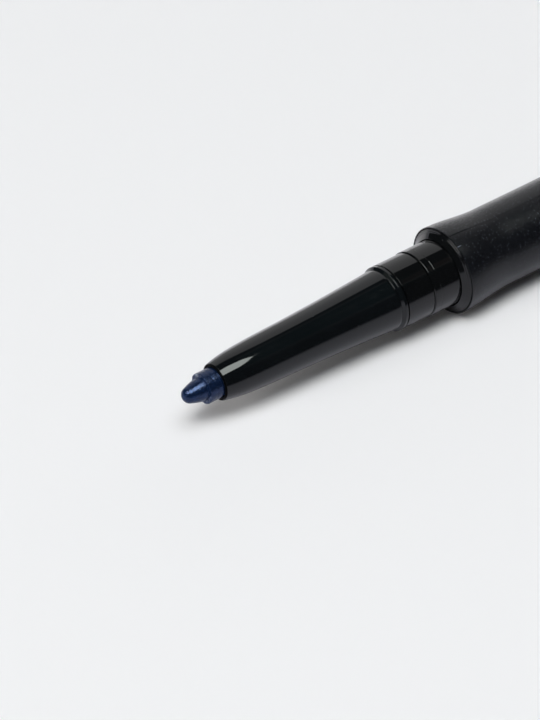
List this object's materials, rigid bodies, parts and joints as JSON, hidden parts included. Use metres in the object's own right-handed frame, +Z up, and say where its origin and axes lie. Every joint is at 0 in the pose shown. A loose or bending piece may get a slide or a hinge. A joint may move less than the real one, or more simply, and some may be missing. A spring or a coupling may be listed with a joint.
{
  "type": "retractable eyeliner pencil",
  "caption": "Retractable eyeliner pencil, open, lying on its side: a soft-touch barrel with a waisted grip and a turning nose that feeds a round lead out and back.",
  "frame": {"origin": "on the surface that the pencil lies on, under the middle of its length", "axes": "+X along the pencil towards its flat end, with the tip at -X; +Z up"},
  "size_m": [0.133, 0.01, 0.01],
  "materials": {
    "soft_touch_black": "matte soft-touch coat with a fine grain and a faint sparkle",
    "gloss_black": "polished black moulding",
    "natural_plastic": "uncoloured moulding, satin",
    "steel": "drawn wire and stamped sheet",
    "rubber": "matte",
    "navy_lead": "navy gel wax with a metallic shimmer"
  },
  "bodies": {
    "barrel": {"soft_touch_sleeve": "soft_touch_black", "barrel_core": "gloss_black", "mouth_ring": "gloss_black", "spiral_sleeve": "natural_plastic", "spiral_lock_ring": "natural_plastic", "end_plug": "gloss_black"},
    "front_unit": {"nose_cone": "gloss_black", "front_bush": "gloss_black", "click_sleeve": "gloss_black", "guide_fork": "natural_plastic", "fork_clip": "steel", "brake_o_ring": "rubber", "thrust_washer": "natural_plastic"},
    "lead_unit": {"lead": "navy_lead", "lead_cup": "natural_plastic", "pusher_rod": "natural_plastic", "follower_pin": "steel"}
  },
  "joints": [
    {"name": "twist", "type": "hinge", "parent": "barrel", "child": "front_unit", "pos_m": [-0.03148, 0, 0.00498], "axis": [1, 0, 0], "range_deg": [-300, 1170]},
    {"name": "lead_feed", "type": "slide", "parent": "front_unit", "child": "lead_unit", "axis": [-1, 0, 0], "range_m": [-0.005, 0.0195]}
  ],
  "couplings": [
    {"joint": "twist", "follows": "lead_feed", "rad_per_m": 1047.1}
  ]
}
